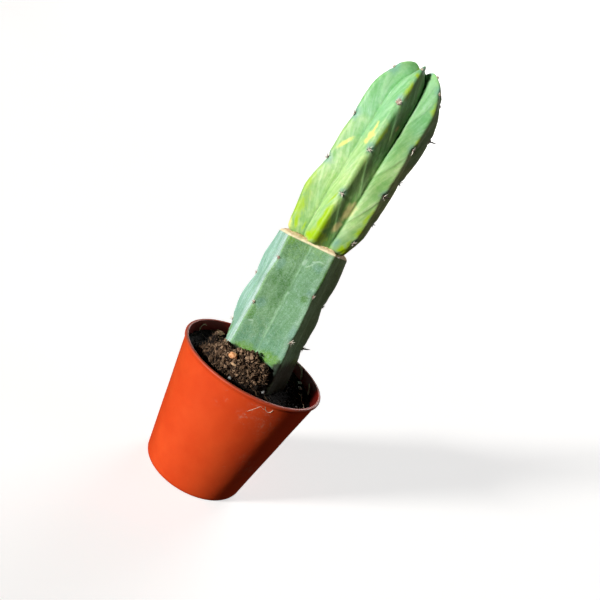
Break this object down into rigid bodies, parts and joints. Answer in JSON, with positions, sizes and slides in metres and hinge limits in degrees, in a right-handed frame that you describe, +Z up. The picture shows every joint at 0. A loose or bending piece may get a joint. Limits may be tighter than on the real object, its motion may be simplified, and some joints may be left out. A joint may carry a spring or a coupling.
{
  "type": "potted grafted column cactus",
  "caption": "Ribbed blue-green column cactus grafted on a short angular rootstock, potted in dark soil in a small tapered terracotta-coloured plastic pot.",
  "frame": {"origin": "centre of the pot's flat base, on the surface that the pot stands on", "axes": "+Z up along the pot's axis, -Y towards the viewer of the picture, +X to the viewer's right"},
  "size_m": [0.07, 0.07, 0.2102],
  "materials": {
    "pot_plastic": "satin",
    "soil": "matte",
    "rootstock_skin": "satin",
    "scion_skin": "satin",
    "dried_flesh": "matte",
    "felt_and_spines": "matte",
    "bark": "matte",
    "perlite": "matte",
    "plant_fibre": "matte"
  },
  "bodies": {
    "root": {"pot": "pot_plastic", "soil": "soil", "rootstock": "rootstock_skin", "graft_callus": "dried_flesh", "scion": "scion_skin", "bark_chip_tan": "bark", "bark_flake_pale": "bark", "bark_piece_orange": "bark", "perlite_grain_1": "perlite", "perlite_grain_2": "perlite", "perlite_grain_3": "perlite", "perlite_grain_4": "perlite", "perlite_grain_5": "perlite", "perlite_grain_6": "perlite", "root_curl": "plant_fibre", "root_fibre": "plant_fibre", "rootstock_areole_1_1": "felt_and_spines", "rootstock_areole_1_2": "felt_and_spines", "rootstock_areole_2_1": "felt_and_spines", "rootstock_areole_2_2": "felt_and_spines", "rootstock_areole_3_1": "felt_and_spines", "rootstock_areole_3_2": "felt_and_spines", "rootstock_areole_4_1": "felt_and_spines", "rootstock_areole_4_2": "felt_and_spines", "rootstock_areole_5_1": "felt_and_spines", "rootstock_areole_5_2": "felt_and_spines", "scion_areole_1_1": "felt_and_spines", "scion_areole_1_2": "felt_and_spines", "scion_areole_1_3": "felt_and_spines", "scion_areole_2_1": "felt_and_spines", "scion_areole_2_2": "felt_and_spines", "scion_areole_2_3": "felt_and_spines", "scion_areole_2_4": "felt_and_spines", "scion_areole_3_1": "felt_and_spines", "scion_areole_3_2": "felt_and_spines", "scion_areole_3_3": "felt_and_spines", "scion_areole_3_4": "felt_and_spines", "scion_areole_3_5": "felt_and_spines", "scion_areole_4_1": "felt_and_spines", "scion_areole_4_2": "felt_and_spines", "scion_areole_4_3": "felt_and_spines", "scion_areole_4_4": "felt_and_spines", "scion_areole_5_1": "felt_and_spines", "scion_areole_5_2": "felt_and_spines", "scion_areole_5_3": "felt_and_spines", "scion_areole_5_4": "felt_and_spines", "scion_areole_5_5": "felt_and_spines", "scion_areole_6_1": "felt_and_spines", "scion_areole_6_2": "felt_and_spines", "scion_areole_6_3": "felt_and_spines", "scion_areole_6_4": "felt_and_spines", "straw_strip": "plant_fibre", "wood_sliver": "plant_fibre"}
  },
  "joints": []
}
